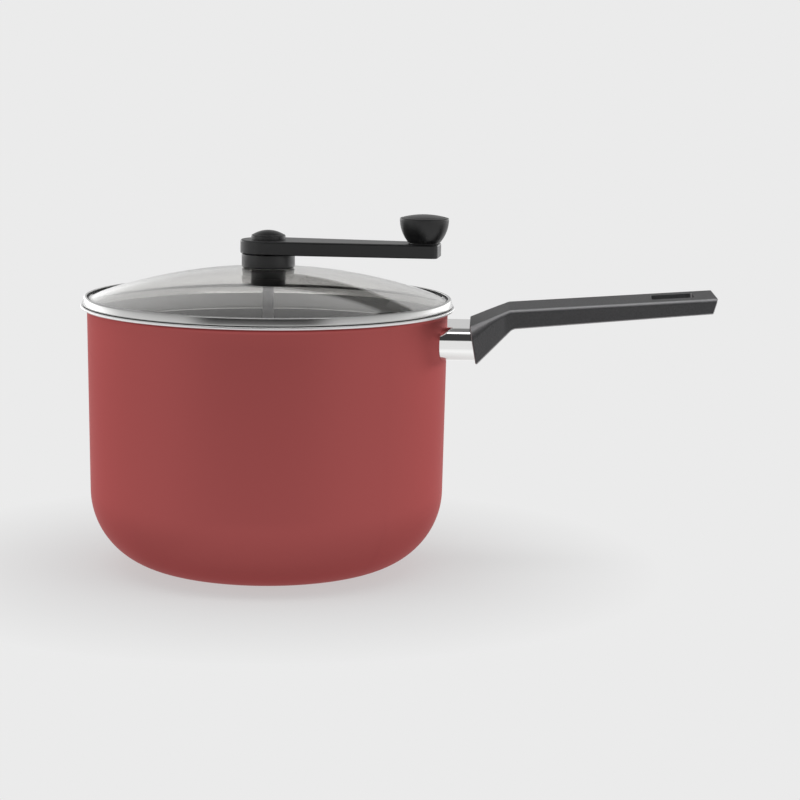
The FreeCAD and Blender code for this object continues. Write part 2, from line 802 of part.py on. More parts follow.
def blade_rivets():
    """Two rivets through both blades and the boss, with a head on each side."""
    outer = stirrer_boss_flats / 2 + blade_sheet
    rivets = []
    for side in (-1, 1):
        rivet = rivet_shank(side, outer)
        for face in (-outer - rivet_head_height, outer):
            head = Part.makeCylinder(rivet_head_radius, rivet_head_height,
                                     V(side * rivet_spacing / 2, face, rivet_height), ACROSS)
            rivet = rivet.fuse(head)
        rivets.append(rivet.removeSplitter())
    return on_arm(Part.makeCompound(rivets))


def blade_band():
    """Revolved band that runs along the pot's floor and up its corner at the stirring gap."""
    corner = at(floor_corner_r, pot_corner_radius)
    outer = floor_corner_radius - stirrer_gap
    inner = outer - blade_depth
    tip = math.radians(-blade_tip_angle)
    lean = V(math.cos(tip), 0, math.sin(tip))
    edges = outline(at(corner.x, pot_corner_radius - inner), at(0, pot_corner_radius - inner),
                    at(0, pot_corner_radius - outer), at(corner.x, pot_corner_radius - outer))
    edges.append(arc_about(corner, outer, -90, -blade_tip_angle))
    edges.append(segment(corner + lean * outer, corner + lean * inner))
    edges.append(arc_about(corner, inner, -blade_tip_angle, -90))
    return turned(edges)


def stirrer_blade(turn):
    """Sheet blade: flat on the boss, then swept back in plan and trimmed to the pot's contour."""
    inner = stirrer_boss_flats / 2
    outer = inner + blade_sheet
    centre_y = inner - blade_curve_radius
    root = block(-blade_root, blade_straight, outer, 0, pot_corner_radius)
    root = root.cut(block(-blade_root, blade_straight, inner, 0, pot_corner_radius))
    root = root.common(Part.makeBox(2 * pot_radius, outer, pot_corner_radius, V(-pot_radius, 0, 0)))
    sweep = Part.makeCylinder(blade_curve_radius + blade_sheet, pot_corner_radius,
                              V(blade_straight, centre_y, 0), UP)
    sweep = sweep.cut(Part.makeCylinder(blade_curve_radius, pot_corner_radius,
                                        V(blade_straight, centre_y, 0), UP))
    quarter = Part.makeBox(pot_radius, blade_curve_radius, pot_corner_radius,
                           V(blade_straight, outer - blade_curve_radius, 0))
    blade = root.fuse(sweep.common(quarter)).common(blade_band()).removeSplitter()
    for side in (-1, 1):
        blade = blade.cut(rivet_shank(side, outer))
    blade.rotate(V(0, 0, 0), UP, turn)
    return on_arm(blade)


def stirrer_blade_a():
    return stirrer_blade(0)


def stirrer_blade_b():
    return stirrer_blade(180)


def stirrer_wire():
    """Wire through the shaft, both ends turned up."""
    start = V(0, -wire_reach, wire_height + wire_bend + wire_upturn)
    points = [start]
    for side in (-1, 1):
        knee = V(0, side * wire_reach, wire_height + wire_bend)
        foot = V(0, side * (wire_reach - wire_bend), wire_height)
        points += [knee, foot] if side < 0 else [foot, knee]
    points.append(V(0, wire_reach, start.z))
    diagonal = wire_bend * (1 - math.sqrt(0.5))
    edges = [segment(points[0], points[1])]
    for side, (a, b) in ((-1, (points[1], points[2])), (1, (points[3], points[4]))):
        middle = V(0, side * (wire_reach - diagonal), wire_height + diagonal)
        edges.append(Part.Arc(a, middle, b).toShape())
    edges.insert(2, segment(points[2], points[3]))
    edges.append(segment(points[4], points[5]))
    path = Part.Wire(edges)
    section = Part.Wire(Part.makeCircle(wire_radius, start, UP))
    return on_arm(path.makePipeShell([section], True, True))


# ---- knob ----

def knob_flank():
    """Side of the bowl: an arc, upright at the rim and ending at the base radius."""
    inset = knob_radius - knob_base_radius
    drop = knob_height - knob_edge
    radius = (inset ** 2 + drop ** 2) / (2 * inset)
    centre = at(knob_radius - radius, knob_rim - knob_edge)
    low = -math.degrees(math.atan2(drop, knob_base_radius - centre.x))
    return arc_about(centre, radius, low, 0)


def knob_dome():
    """Radius and centre height of the domed top."""
    foot = knob_radius - knob_edge
    radius = (foot ** 2 + knob_dome_rise ** 2) / (2 * knob_dome_rise)
    return radius, knob_crest - radius


def knob():
    radius, centre_z = knob_dome()
    foot = knob_radius - knob_edge
    seat_r = knob_cap_radius + knob_cap_clear
    start = math.degrees(math.atan2(knob_rim - centre_z, foot))
    seat = math.degrees(math.acos(seat_r / radius))
    seat_z = knob_rim - knob_cap_sheet
    shelf = knob_bottom + knob_pin_shelf
    well = knob_pin_head_radius + knob_pin_head_clear
    bore = knob_pin_radius + shaft_clear
    dome_arc = arc_about(at(0, centre_z), radius, start, seat)
    edges = [knob_flank(), arc_about(at(foot, knob_rim - knob_edge), knob_edge, 0, 90), dome_arc]
    edges += outline(dome_arc.Vertexes[-1].Point, at(seat_r, seat_z), at(well, seat_z),
                     at(well, shelf), at(bore, shelf), at(bore, knob_bottom),
                     at(knob_base_radius, knob_bottom))
    return at_knob(turned(edges))


def knob_cap():
    radius, centre_z = knob_dome()
    edge = math.degrees(math.acos(knob_cap_radius / radius))
    seat_z = knob_rim - knob_cap_sheet
    dome_arc = arc_about(at(0, centre_z), radius, edge, 90)
    edges = [dome_arc]
    edges += outline(at(0, knob_crest), at(0, seat_z), at(knob_cap_radius, seat_z),
                     dome_arc.Vertexes[0].Point)
    return at_knob(turned(edges))


def knob_washer():
    washer = tube(knob_washer_radius, knob_pin_radius + fit_clear, arm_top, arm_top + knob_washer_sheet)
    return at_knob(washer)


def knob_pin():
    """Pin: thin foot in the arm, shoulder in the knob's bore and a head on the knob's shelf."""
    shelf = knob_bottom + knob_pin_shelf + thrust_clear
    foot_z = arm_bottom + fit_clear
    return at_knob(turned_outline(
        at(0, foot_z), at(knob_pin_foot_radius, foot_z), at(knob_pin_foot_radius, arm_top),
        at(knob_pin_radius, arm_top), at(knob_pin_radius, shelf), at(knob_pin_head_radius, shelf),
        at(knob_pin_head_radius, shelf + knob_pin_head_height), at(0, shelf + knob_pin_head_height)))


def knob_pin_clip():
    ceiling = arm_bottom + clip_pocket_depth
    return at_knob(tube(clip_radius, knob_pin_foot_radius + fit_clear, ceiling - clip_sheet, ceiling))


PIECES = [
    pot_body, handle_bracket, handle_ferrule, handle_grip, handle_screw, handle_screw_washer,
    lid_glass, lid_ring, lid_seal, hub_collar, hub_upper_gasket, hub_lower_gasket, hub_nut, shaft_bush,
    crank_arm, crank_cap, crank_screw, crank_washer, thrust_washer, stir_shaft,
    stirrer_hub, stirrer_pin, stirrer_blade_a, stirrer_blade_b, blade_rivets, stirrer_wire,
    knob_pin, knob_pin_clip, knob_washer, knob, knob_cap,
]

os.makedirs("parts", exist_ok=True)
for piece in PIECES:
    piece().exportStep(f"parts/{piece.__name__}.step")
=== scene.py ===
import json
import math

import bmesh
import bpy
from mathutils import Matrix, Vector


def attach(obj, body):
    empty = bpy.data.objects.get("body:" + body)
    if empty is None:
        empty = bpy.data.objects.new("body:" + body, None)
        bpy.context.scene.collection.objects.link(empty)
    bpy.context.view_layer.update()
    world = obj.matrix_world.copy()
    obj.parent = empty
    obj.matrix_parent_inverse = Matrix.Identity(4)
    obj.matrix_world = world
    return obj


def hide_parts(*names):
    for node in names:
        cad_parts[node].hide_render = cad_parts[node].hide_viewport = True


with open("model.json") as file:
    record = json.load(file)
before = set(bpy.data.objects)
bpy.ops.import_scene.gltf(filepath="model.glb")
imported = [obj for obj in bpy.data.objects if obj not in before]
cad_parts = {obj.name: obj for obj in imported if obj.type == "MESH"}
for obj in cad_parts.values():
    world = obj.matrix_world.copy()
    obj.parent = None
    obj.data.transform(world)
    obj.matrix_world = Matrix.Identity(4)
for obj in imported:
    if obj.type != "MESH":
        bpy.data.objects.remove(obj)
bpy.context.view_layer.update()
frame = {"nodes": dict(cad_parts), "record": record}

# Stovetop popcorn popper. Metres, in the CAD's frame: +Z up, the handle along +X.
# Profiles are written in millimetres and turned to metres when their mesh is made.

MM = 0.001

# ---- sizes in millimetres, angles in degrees ----
# They are the solids' own sizes, but for finer forms that only this script makes: the ring's
# leaning wall, rolled shoulder and short hemmed skirt, the turned step inside the pot, and the
# knob's low dome with the gap round its disc.

pot_radius = 111.8
pot_height = 163.7
pot_wall = 1.8
pot_floor = 3.0
pot_wall_taper = 1.6
pot_corner_radius = 48.4
pot_lip_reach = 4.1
pot_lip_cove = 3.1
base_groove_radius = 52.0
base_groove_width = 1.6
base_groove_depth = 0.5
coat_top = 149.0
turned_step = 1.0
turned_step_height = 1.3
lacquer_from_corner = 2.0

handle_z = 143.7
ferrule_width = 59.5
ferrule_height = 20.4
ferrule_corner = 8.5
ferrule_sheet = 0.9
grip_face_x = 127.7
grip_face_rake = 10.0

lid_seat_gap = 0.3
ring_radius = 114.8
ring_height = 5.0
ring_sheet = 0.6
ring_top_width = 3.0
ring_corner_radius = 0.7
ring_shoulder_radius = 1.3
ring_shoulder_start = 12
ring_wall_lean = 0.8
ring_roof_inset = 0.4
skirt_radius = 109.3
skirt_depth = 3.6
skirt_hem = 0.9
skirt_taper = 1.6
seal_lip = 0.4
seal_web = 1.0
seal_reach = 0.9
glass_sheet = 3.0
dome_rise = 19.0
glass_rim_width = 3.7
dome_foot_fillet = 5.0
glass_hole_radius = 7.5

collar_radius = 16.5
collar_height = 8.4
collar_edge = 0.8
collar_skirt_inner = 14.8
gasket_sheet = 1.0
neck_radius = 6.8
nut_radius = 10.8
nut_height = 8.4
nut_floor = 1.6
nut_edge = 1.2
nut_top_edge = 0.4
nut_hole_clear = 0.4
bush_radius = 5.0
bush_flange_radius = 8.0
bush_flange_sheet = 1.5
fit_clear = 0.02
thread_clear = 0.05

arm_angle = -6.0
arm_gap = 0.3
arm_thickness = 8.5
shaft_radius = 3.5
cap_radius = 10.65
cap_rim = 2.1
cap_rise = 3.7
cap_edge = 0.9
cap_roof = 1.8
cap_spigot = 2.0
cap_spigot_wall = 1.1
cap_pocket_radius = 8.6

knob_centre = 97.3
knob_radius = 15.1
knob_base_radius = 9.75
knob_height = 15.2
knob_dome_rise = 2.0
knob_edge = 0.8
knob_cap_radius = 12.2
knob_cap_sheet = 1.8
knob_cap_clear = 0.25
knob_washer_sheet = 0.5
knob_pin_radius = 3.0
knob_pin_head_well = 5.2
knob_pin_shelf = 9.0
shaft_clear = 0.06

wire_radius = 1.5
wire_height = 62.0
wire_reach = 78.0
wire_bend = 9.0
wire_upturn = 20.0

rivet_head_radius = 1.9
rivet_head_height = 0.9
rivet_shank_radius = 1.0
rivet_spacing = 9.8
rivet_height = 11.5
rivet_half_length = 6.2

# Points closer than this are one point
same_point = 0.0005

ring_bottom = pot_height + lid_seat_gap
ring_top = ring_bottom + ring_height
glass_edge_radius = ring_radius - ring_sheet - seal_web
dome_foot_radius = glass_edge_radius - glass_rim_width
glass_flat_bottom = ring_bottom + ring_sheet + seal_lip
glass_flat_top = glass_flat_bottom + glass_sheet
dome_top = glass_flat_top + dome_rise
dome_radius = (dome_foot_radius ** 2 + dome_rise ** 2) / (2 * dome_rise)
dome_centre_z = dome_top - dome_radius
collar_top = dome_top + collar_height
nut_top = dome_top - glass_sheet - gasket_sheet
nut_bottom = nut_top - nut_height
arm_top = collar_top + arm_gap + arm_thickness
knob_bottom = arm_top + knob_washer_sheet + thread_clear
knob_rim = knob_bottom + knob_height
knob_crest = knob_rim + knob_dome_rise
crank_turn = math.radians(arm_angle)
knob_axis = (knob_centre * math.cos(crank_turn), knob_centre * math.sin(crank_turn))


# ---- small helpers ----

def srgb(code):
    """Linear colour of an sRGB hex value."""
    parts = [int(code[k:k + 2], 16) / 255 for k in (1, 3, 5)]
    linear = [c / 12.92 if c <= 0.04045 else ((c + 0.055) / 1.055) ** 2.4 for c in parts]
    return (*linear, 1.0)


def add(tree, kind, inputs=None, **settings):
    """Adds a node, applies its settings and gives each named input a value or a link."""
    made = tree.nodes.new(kind)
    for key, value in settings.items():
        setattr(made, key, value)
    for key, value in (inputs or {}).items():
        if isinstance(value, bpy.types.NodeSocket):
            tree.links.new(value, made.inputs[key])
        else:
            made.inputs[key].default_value = value
    return made


def scale_for(millimetres):
    """Texture scale whose features are this many millimetres across."""
    return 1 / (millimetres * MM)


def link(obj):
    """Puts an object into the scene and hands it back."""
    bpy.context.scene.collection.objects.link(obj)
    return obj


# ---- materials ----

def start_material(name, colour, roughness, metallic=0.0, **sockets):
    """Material with one principled shader; sockets are uniform values on the shader itself."""
    made = bpy.data.materials.new(name)
    made.use_nodes = True
    tree = made.node_tree
    tree.nodes.clear()
    place = add(tree, "ShaderNodeTexCoord").outputs["Object"]
    shader = add(tree, "ShaderNodeBsdfPrincipled",
                 {"Base Color": srgb(colour), "Roughness": roughness, "Metallic": metallic})
    for key, value in sockets.items():
        shader.inputs[key.replace("_", " ")].default_value = value
    add(tree, "ShaderNodeOutputMaterial", {"Surface": shader.outputs["BSDF"]})
    return made, tree, shader, place


def vary(tree, shader, pattern, colours, gloss):
    """Moves the colour and the roughness between two values each by a pattern."""
    tint = add(tree, "ShaderNodeMixRGB", {0: pattern, 1: srgb(colours[0]), 2: srgb(colours[1])})
    tree.links.new(tint.outputs[0], shader.inputs["Base Color"])
    rough = add(tree, "ShaderNodeMapRange",
                {"Value": pattern, "To Min": gloss[0], "To Max": gloss[1]})
    tree.links.new(rough.outputs[0], shader.inputs["Roughness"])


def emboss(tree, shader, height, depth_mm, strength):
    """Bump from a height pattern, its depth in millimetres."""
    bump = add(tree, "ShaderNodeBump",
               {"Height": height, "Distance": depth_mm * MM, "Strength": strength})
    tree.links.new(bump.outputs[0], shader.inputs["Normal"])


def circles(tree, place, line_mm):
    """Pattern of fine lines that run round the Z axis, as turning and spinning leave them.
    Real lines are a tenth of a millimetre apart. These are as coarse as they need to be to show."""
    flat = add(tree, "ShaderNodeVectorMath", {0: place, 1: (1, 1, 0)}, operation="MULTIPLY")
    radius = add(tree, "ShaderNodeVectorMath", {0: flat.outputs[0]}, operation="LENGTH")
    parts = add(tree, "ShaderNodeSeparateXYZ", {0: place})
    across = add(tree, "ShaderNodeCombineXYZ", {0: radius.outputs["Value"], 2: parts.outputs[2]})
    lines = add(tree, "ShaderNodeTexNoise",
                {"Vector": across.outputs[0], "Scale": scale_for(line_mm), "Detail": 3.0,
                 "Roughness": 0.6})
    return lines.outputs[0]


def red_lacquer():
    """Clear red lacquer baked on satin aluminium: the metal under it tints every reflection red."""
    made, tree, shader, place = start_material("baked_red_lacquer", "#a55453", 0.46, 1.0,
                                               Specular_Tint=srgb("#ffcfcf"))
    cloud = add(tree, "ShaderNodeTexNoise",
                {"Vector": place, "Scale": scale_for(60), "Detail": 2.0})
    vary(tree, shader, cloud.outputs[0], ("#a35352", "#a75554"), (0.44, 0.49))
    peel = add(tree, "ShaderNodeTexNoise",
               {"Vector": place, "Scale": scale_for(1.6), "Detail": 2.0})
    emboss(tree, shader, peel.outputs[0], 0.03, 0.35)
    return made


def spread_along_lines(tree, shader, amount):
    """Draws reflections out across lines that run round the Z axis, as spun metal does."""
    around = add(tree, "ShaderNodeTangent", direction_type="RADIAL", axis="Z")
    tree.links.new(around.outputs[0], shader.inputs["Tangent"])
    shader.inputs["Anisotropic"].default_value = amount
    shader.inputs["Anisotropic Rotation"].default_value = 0.25


def spun_aluminium():
    """Drawn and spun aluminium, left bare: satin, its reflections drawn out across fine circles."""
    made, tree, shader, place = start_material("spun_aluminium", "#e2e2e2", 0.42, 1.0)
    lines = circles(tree, place, 0.5)
    vary(tree, shader, lines, ("#dedede", "#e6e6e6"), (0.37, 0.47))
    spread_along_lines(tree, shader, 0.4)
    emboss(tree, shader, lines, 0.004, 0.5)
    return made


def dark_coating():
    """Thin dark grey non-stick coating on spun metal, whose circular lines still show through."""
    made, tree, shader, place = start_material("dark_nonstick_coating", "#424244", 0.4, 1.0)
    lines = circles(tree, place, 0.8)
    vary(tree, shader, lines, ("#3c3c3e", "#48484a"), (0.35, 0.46))
    spread_along_lines(tree, shader, 0.6)
    emboss(tree, shader, lines, 0.006, 0.5)
    return made


def rolled_stainless():
    """Roll-formed stainless strip with a satin polish: grey, with lines along the strip."""
    made, tree, shader, place = start_material("rolled_stainless", "#b4b4b3", 0.22, 1.0)
    lines = circles(tree, place, 0.3)
    vary(tree, shader, lines, ("#aeaead", "#babab9"), (0.18, 0.26))
    spread_along_lines(tree, shader, 0.6)
    emboss(tree, shader, lines, 0.003, 0.4)
    return made


def polished_stainless():
    """Buffed stainless tube: nearly a mirror, with faint polishing lines along the handle."""
    made, tree, shader, place = start_material("polished_stainless", "#f4f4f3", 0.07, 1.0)
    stretch = add(tree, "ShaderNodeMapping", {"Vector": place, "Scale": (0.02, 1, 1)})
    lines = add(tree, "ShaderNodeTexNoise", {"Vector": stretch.outputs[0], "Scale": scale_for(0.4)})
    vary(tree, shader, lines.outputs[0], ("#f1f1f0", "#f7f7f6"), (0.05, 0.1))
    return made


def drawn_wire_steel():
    """Cold-drawn stainless rod and sheet of the stirrer: satin grey with fine scratches."""
    made, tree, shader, place = start_material("drawn_stainless", "#77777b", 0.42, 1.0)
    scratch = add(tree, "ShaderNodeTexNoise",
                  {"Vector": place, "Scale": scale_for(1.2), "Detail": 4.0})
    vary(tree, shader, scratch.outputs[0], ("#727276", "#7c7c80"), (0.38, 0.48))
    emboss(tree, shader, scratch.outputs[0], 0.004, 0.4)
    return made


def plated_steel():
    """Zinc-plated fasteners: slightly cloudy, bluish grey metal."""
    made, tree, shader, place = start_material("zinc_plated_steel", "#b4b7ba", 0.3, 1.0)
    cloud = add(tree, "ShaderNodeTexNoise",
                {"Vector": place, "Scale": scale_for(0.8), "Detail": 3.0})
    vary(tree, shader, cloud.outputs[0], ("#a8abae", "#bfc2c4"), (0.26, 0.38))
    return made


def grained_phenolic():
    """Heat-proof phenolic of the grip, moulded against a spark-eroded surface: dark grey and
    pebbled, with a painted highlight: its rounded edges are coloured paler and made smoother. The
    real grain is about 0.3 mm and is drawn as coarse as it needs to be to show."""
    made, tree, shader, place = start_material("grained_phenolic", "#343436", 0.55,
                                               Specular_IOR_Level=0.7)
    grain = add(tree, "ShaderNodeTexNoise",
                {"Vector": place, "Scale": scale_for(1.0), "Detail": 4.0})
    emboss(tree, shader, grain.outputs[0], 0.3, 1.0)
    # How far a face leans sideways, 0 on top and 1 on a flank, where the painted highlight begins
    # and is full
    painted_highlight_from_top = (0.15, 0.5)
    painted_highlight_from_flank = (0.98, 0.75)
    facing = add(tree, "ShaderNodeTexCoord").outputs["Normal"]
    parts = add(tree, "ShaderNodeSeparateXYZ", {0: facing})
    sideways = add(tree, "ShaderNodeMath", {0: parts.outputs[1]}, operation="ABSOLUTE")
    off_top = add(tree, "ShaderNodeMapRange",
                  {"Value": sideways.outputs[0], "From Min": painted_highlight_from_top[0],
                   "From Max": painted_highlight_from_top[1]})
    off_flank = add(tree, "ShaderNodeMapRange",
                    {"Value": sideways.outputs[0], "From Min": painted_highlight_from_flank[0],
                     "From Max": painted_highlight_from_flank[1]})
    # Mask of the painted highlight: 1 on the rounded edges between top and flank, 0 elsewhere
    edge = add(tree, "ShaderNodeMath", {0: off_top.outputs[0], 1: off_flank.outputs[0]},
               operation="MULTIPLY")
    flat = add(tree, "ShaderNodeMixRGB",
               {0: grain.outputs[0], 1: srgb("#29292b"), 2: srgb("#424244")})
    # Painted highlight: the rounded edges are mixed towards pale grey #b4b4b6
    tint = add(tree, "ShaderNodeMixRGB",
               {0: edge.outputs[0], 1: flat.outputs[0], 2: srgb("#b4b4b6")})
    tree.links.new(tint.outputs[0], shader.inputs["Base Color"])
    gloss = add(tree, "ShaderNodeMapRange",
                {"Value": edge.outputs[0], "To Min": 0.55, "To Max": 0.35})
    tree.links.new(gloss.outputs[0], shader.inputs["Roughness"])
    return made


def moulded_nylon():
    """Black glass-filled nylon of crank, collar and knob: semi-matte with a fine mould grain."""
    made, tree, shader, place = start_material("moulded_black_nylon", "#1a1a1b", 0.34,
                                               Specular_IOR_Level=0.45)
    grain = add(tree, "ShaderNodeTexNoise",
                {"Vector": place, "Scale": scale_for(0.5), "Detail": 2.0})
    vary(tree, shader, grain.outputs[0], ("#171718", "#1e1e1f"), (0.3, 0.38))
    emboss(tree, shader, grain.outputs[0], 0.03, 0.5)
    return made


def white_acetal():
    """Natural acetal bush and washers: milky white and waxy."""
    made, tree, shader, place = start_material("natural_acetal", "#e6e5e0", 0.35,
                                               Subsurface_Weight=0.1)
    cloud = add(tree, "ShaderNodeTexNoise",
                {"Vector": place, "Scale": scale_for(3), "Detail": 2.0})
    vary(tree, shader, cloud.outputs[0], ("#e2e1dc", "#ebeae6"), (0.3, 0.4))
    return made


def tempered_glass():
    """Tempered soda-lime glass: clear, almost without tint, polished and very slightly wavy."""
    made, tree, shader, place = start_material("tempered_glass", "#fbfaf8", 0.0, IOR=1.5,
                                               Transmission_Weight=1.0)
    wave = add(tree, "ShaderNodeTexNoise",
               {"Vector": place, "Scale": scale_for(35), "Detail": 1.0})
    emboss(tree, shader, wave.outputs[0], 0.05, 0.3)
    return made


def silicone(name, dark, light):
    """Moulded silicone rubber: dull and slightly uneven."""
    made, tree, shader, place = start_material(name, dark, 0.6)
    grain = add(tree, "ShaderNodeTexNoise",
                {"Vector": place, "Scale": scale_for(1.5), "Detail": 2.0})
    vary(tree, shader, grain.outputs[0], (dark, light), (0.55, 0.7))
    return made


black_nylon = moulded_nylon()
lacquer = red_lacquer()
aluminium = spun_aluminium()
coating = dark_coating()
finishes = {
    "red_enamel": lacquer,
    "aluminium": aluminium,
    "polished_steel": polished_stainless(),
    "ring_steel": rolled_stainless(),
    "shaft_steel": drawn_wire_steel(),
    "fastener_steel": plated_steel(),
    "grip_phenolic": grained_phenolic(),
    "black_nylon": black_nylon,
    "white_acetal": white_acetal(),
    "tempered_glass": tempered_glass(),
    "dark_silicone": silicone("dark_silicone", "#1b1b1c", "#242425"),
    "clear_silicone": silicone("clear_silicone", "#9a9a98", "#a8a8a6"),
}

record = frame["record"]
slot_of = {part["node"]: part["material_slot"] for part in record["subparts"]}
body_of = {node: body for body, nodes in record["behaviour"]["bodies"].items() for node in nodes}


def fit_piece(piece, node):
    """Ties a finished piece to its body and hides the CAD node that it stands for."""
    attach(piece, body_of[node])
    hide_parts(node)


# ---- shape trees ----

def start_tree(name, **inputs):
    """Geometry tree with named inputs of the given kinds and one output, the piece."""
    tree = bpy.data.node_groups.new(name, "GeometryNodeTree")
    for key, kind in inputs.items():
        tree.interface.new_socket(key.replace("_", " "), in_out="INPUT",
                                  socket_type="NodeSocket" + kind)
    tree.interface.new_socket("Piece", in_out="OUTPUT", socket_type="NodeSocketGeometry")
    return tree, add(tree, "NodeGroupInput").outputs


def soften(tree, shape, sharp_angle):
    """Smooth shading with a crease where two faces meet at more than the given angle."""
    smooth = add(tree, "GeometryNodeSetShadeSmooth", {"Geometry": shape, "Shade Smooth": True},
                 domain="FACE")
    angle = add(tree, "GeometryNodeInputMeshEdgeAngle")
    crease = add(tree, "FunctionNodeCompare", {0: angle.outputs[0], 1: sharp_angle},
                 operation="GREATER_THAN")
    return add(tree, "GeometryNodeSetShadeSmooth",
               {"Geometry": smooth.outputs[0], "Selection": crease.outputs[0],
                "Shade Smooth": False}, domain="EDGE").outputs[0]


def end_tree(tree, shape, material, bands=()):
    """Realises the shape, gives it its material and gives each band of faces one of its own."""
    real = add(tree, "GeometryNodeRealizeInstances", {"Geometry": shape})
    done = add(tree, "GeometryNodeSetMaterial", {"Geometry": real.outputs[0], "Material": material})
    for band, band_material in bands:
        done = add(tree, "GeometryNodeSetMaterial",
                   {"Geometry": done.outputs[0], "Selection": band, "Material": band_material})
    add(tree, "NodeGroupOutput", {0: done.outputs[0]})
    return tree


def turned_piece_tree():
    """Turns a row of profile points about a vertical axis. The row runs anticlockwise as seen
    with the axis on its left, so that the faces point outwards."""
    tree, given = start_tree("turned_piece", Profile="Geometry", Turns="Int", Axis="Vector",
                             Sharp_Angle="Float", Material="Material",
                             Paint_From="Int", Paint_To="Int", Paint_Material="Material",
                             Coat_From="Int", Coat_To="Int", Coat_Material="Material")
    size = add(tree, "GeometryNodeAttributeDomainSize", {0: given["Profile"]}, component="MESH")
    rows = size.outputs["Point Count"]
    columns = add(tree, "FunctionNodeIntegerMath", {0: given["Turns"], 1: 1}, operation="ADD")
    grid = add(tree, "GeometryNodeMeshGrid", {"Vertices X": columns.outputs[0], "Vertices Y": rows})
    index = add(tree, "GeometryNodeInputIndex").outputs[0]
    gaps = add(tree, "FunctionNodeIntegerMath", {0: rows, 1: 1}, operation="SUBTRACT")
    strip = add(tree, "FunctionNodeIntegerMath", {0: index, 1: gaps.outputs[0]}, operation="MODULO")
    held = add(tree, "GeometryNodeCaptureAttribute", {"Geometry": grid.outputs["Mesh"]},
               domain="FACE")
    for band in ("Paint", "Coat"):
        after = add(tree, "FunctionNodeCompare", {2: strip.outputs[0], 3: given[band + " From"]},
                    data_type="INT", operation="GREATER_EQUAL")
        before = add(tree, "FunctionNodeCompare", {2: strip.outputs[0], 3: given[band + " To"]},
                     data_type="INT", operation="LESS_THAN")
        inside = add(tree, "FunctionNodeBooleanMath", {0: after.outputs[0], 1: before.outputs[0]})
        held.capture_items.new("BOOLEAN", band)
        tree.links.new(inside.outputs[0], held.inputs[band])
    row = add(tree, "FunctionNodeIntegerMath", {0: index, 1: rows}, operation="MODULO")
    column = add(tree, "FunctionNodeIntegerMath", {0: index, 1: rows}, operation="DIVIDE_FLOOR")
    where = add(tree, "GeometryNodeInputPosition")
    point = add(tree, "GeometryNodeSampleIndex",
                {"Geometry": given["Profile"], "Value": where.outputs[0], "Index": row.outputs[0]},
                data_type="FLOAT_VECTOR", domain="POINT")
    step = add(tree, "ShaderNodeMath", {0: math.tau, 1: given["Turns"]}, operation="DIVIDE")
    angle = add(tree, "ShaderNodeMath", {0: column.outputs[0], 1: step.outputs[0]},
                operation="MULTIPLY")
    spun = add(tree, "ShaderNodeVectorRotate",
               {"Vector": point.outputs[0], "Angle": angle.outputs[0]}, rotation_type="Z_AXIS")
    moved = add(tree, "ShaderNodeVectorMath", {0: spun.outputs[0], 1: given["Axis"]},
                operation="ADD")
    shaped = add(tree, "GeometryNodeSetPosition",
                 {"Geometry": held.outputs["Geometry"], "Position": moved.outputs[0]})
    closed = add(tree, "GeometryNodeMergeByDistance",
                 {"Geometry": shaped.outputs[0], "Distance": same_point * MM})
    soft = soften(tree, closed.outputs[0], given["Sharp Angle"])
    return end_tree(tree, soft, given["Material"],
                    [(held.outputs[band], given[band + " Material"]) for band in ("Paint", "Coat")])


def bent_wire_tree():
    """Round wire along a row of points, with a bend radius at each corner and closed ends."""
    tree, given = start_tree("bent_wire", Path="Geometry", Radius="Float", Bend="Float",
                             Sharp_Angle="Float", Material="Material")
    path = add(tree, "GeometryNodeMeshToCurve", {0: given["Path"]})
    bent = add(tree, "GeometryNodeFilletCurve",
               {"Curve": path.outputs[0], "Radius": given["Bend"], "Count": 10}, mode="POLY")
    ring = add(tree, "GeometryNodeCurvePrimitiveCircle",
               {"Resolution": 24, "Radius": given["Radius"]})
    swept = add(tree, "GeometryNodeCurveToMesh",
                {"Curve": bent.outputs[0], "Profile Curve": ring.outputs[0], "Fill Caps": True})
    soft = soften(tree, swept.outputs[0], given["Sharp Angle"])
    return end_tree(tree, soft, given["Material"])


def placed_copies_tree():
    """Copies of one small part, such as a rivet, at each given point and all turned alike."""
    tree, given = start_tree("placed_copies", Points="Geometry", Part="Object", Turn="Rotation",
                             Material="Material")
    part = add(tree, "GeometryNodeObjectInfo", {"Object": given["Part"]})
    copies = add(tree, "GeometryNodeInstanceOnPoints",
                 {"Points": given["Points"], "Instance": part.outputs["Geometry"],
                  "Rotation": given["Turn"]})
    return end_tree(tree, copies.outputs[0], given["Material"])


turned_piece = turned_piece_tree()
bent_wire = bent_wire_tree()
placed_copies = placed_copies_tree()


def shape_with(tree, name, points, edges, **inputs):
    """Runs a shape tree on a row of points in millimetres and keeps the result as a plain mesh."""
    mesh = bpy.data.meshes.new(name + "_row")
    mesh.from_pydata([Vector(point) * MM for point in points], edges, [])
    source = link(bpy.data.objects.new(name + "_row", mesh))
    modifier = source.modifiers.new("shape", "NODES")
    modifier.node_group = tree
    for item in tree.interface.items_tree:
        key = item.name.replace(" ", "_")
        if item.in_out == "INPUT" and key in inputs:
            modifier[item.identifier] = inputs[key]
    graph = bpy.context.evaluated_depsgraph_get()
    made = bpy.data.meshes.new_from_object(source.evaluated_get(graph), depsgraph=graph)
    bpy.data.objects.remove(source)
    made.name = name
    return link(bpy.data.objects.new(name, made))


# Faces that meet at more than this angle keep a crease between them
CREASE = math.radians(32)
# Faces round a turned piece
wide_turns = 192
small_turns = 96
rivet_turns = 24


def turned(name, profile, material, turns, axis=(0, 0), **bands):
    """Piece turned from a profile of (radius, height) pairs in millimetres."""
    points = [(radius, 0, height) for radius, height in profile]
    return shape_with(turned_piece, name, points, [], Turns=turns,
                      Axis=(axis[0] * MM, axis[1] * MM, 0), Sharp_Angle=CREASE,
                      Material=material, **bands)


